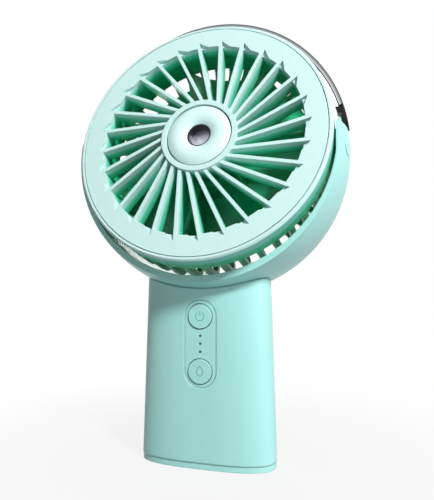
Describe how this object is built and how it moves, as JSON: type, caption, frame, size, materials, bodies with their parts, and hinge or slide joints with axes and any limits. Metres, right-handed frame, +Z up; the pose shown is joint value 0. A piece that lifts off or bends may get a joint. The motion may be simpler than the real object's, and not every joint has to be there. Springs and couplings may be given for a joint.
{
  "type": "handheld misting fan",
  "caption": "Handheld misting fan: round tilting head with a swept-rib grille and a mist nozzle in its hub, held in a U-shaped yoke on a flat handle with push buttons and a swing hoop.",
  "frame": {"origin": "centre of the handle's base, on the surface it stands on", "axes": "+Z up the handle, -Y out of the front of the fan, +X to the viewer's right"},
  "size_m": [0.114, 0.0588, 0.1838],
  "materials": {
    "mint_plastic": "satin",
    "pale_mint_plastic": "satin",
    "green_plastic": "semi-gloss",
    "black_plastic": "satin",
    "grey_rubber": "matt",
    "steel": "bright",
    "bright_chrome": "polished",
    "bronze": "sintered",
    "copper_wire": "enamelled",
    "iron": "plain",
    "board": "lacquered",
    "foil": "foil",
    "cotton": "fibrous",
    "clear_green_plastic": "clear",
    "lens": "clear"
  },
  "bodies": {
    "handle": {"handle_shell": "mint_plastic", "base_cap": "mint_plastic", "base_screws": "steel", "yoke": "mint_plastic", "wire_cover": "mint_plastic", "yoke_screws": "steel", "pivot_pins": "steel", "pivot_caps": "mint_plastic", "friction_washers": "grey_rubber", "button_panel": "pale_mint_plastic", "indicator_lenses": "lens", "control_board": "board", "board_screws": "steel", "power_switch": "black_plastic", "mist_switch": "black_plastic", "battery": "foil", "battery_pad": "grey_rubber", "usb_board": "board", "usb_socket": "steel"},
    "head": {"rear_cage": "green_plastic", "front_bezel": "pale_mint_plastic", "cage_screws": "steel", "front_grille": "pale_mint_plastic", "nozzle_dome": "pale_mint_plastic", "nozzle_collar": "black_plastic", "atomiser_disc": "steel", "atomiser_seal": "grey_rubber", "wick": "cotton", "hollow_axle": "steel", "stator_core": "iron", "stator_coils": "copper_wire", "motor_board": "board", "thrust_washer": "black_plastic", "axle_clip": "steel", "pivot_bushes": "bronze", "water_tank": "clear_green_plastic", "tank_gasket": "grey_rubber", "tank_screws": "steel"},
    "impeller": {"impeller": "green_plastic", "rotor_cup": "steel", "magnet_ring": "iron", "rotor_bushes": "bronze"},
    "hoop": {"hoop": "bright_chrome", "hoop_ends": "black_plastic", "hoop_pins": "steel"},
    "power_button": {"power_button": "pale_mint_plastic"},
    "mist_button": {"mist_button": "pale_mint_plastic"},
    "fill_plug": {"fill_plug": "grey_rubber"}
  },
  "joints": [
    {"name": "head_tilt", "type": "hinge", "parent": "handle", "child": "head", "pos_m": [0, 0, 0.1266], "axis": [-1, 0, 0], "range_deg": [-15.6, 74.4]},
    {"name": "impeller_spin", "type": "hinge", "parent": "head", "child": "impeller", "pos_m": [0, 0, 0.1266], "axis": [0, -0.9632, 0.2689], "continuous": true},
    {"name": "hoop_swing", "type": "hinge", "parent": "handle", "child": "hoop", "pos_m": [0, 0.0106, 0.1372], "axis": [-1, 0, 0], "range_deg": [0, 85]},
    {"name": "power_button_press", "type": "slide", "parent": "handle", "child": "power_button", "axis": [0, 1, 0], "range_m": [0, 0.0007], "stiffness_N_per_m": 1500, "springref_m": -0.0005},
    {"name": "mist_button_press", "type": "slide", "parent": "handle", "child": "mist_button", "axis": [0, 1, 0], "range_m": [0, 0.0007], "stiffness_N_per_m": 1500, "springref_m": -0.0005},
    {"name": "fill_plug_pull", "type": "slide", "parent": "head", "child": "fill_plug", "axis": [0, 0.9632, -0.2689], "range_m": [0, 0.006]}
  ]
}
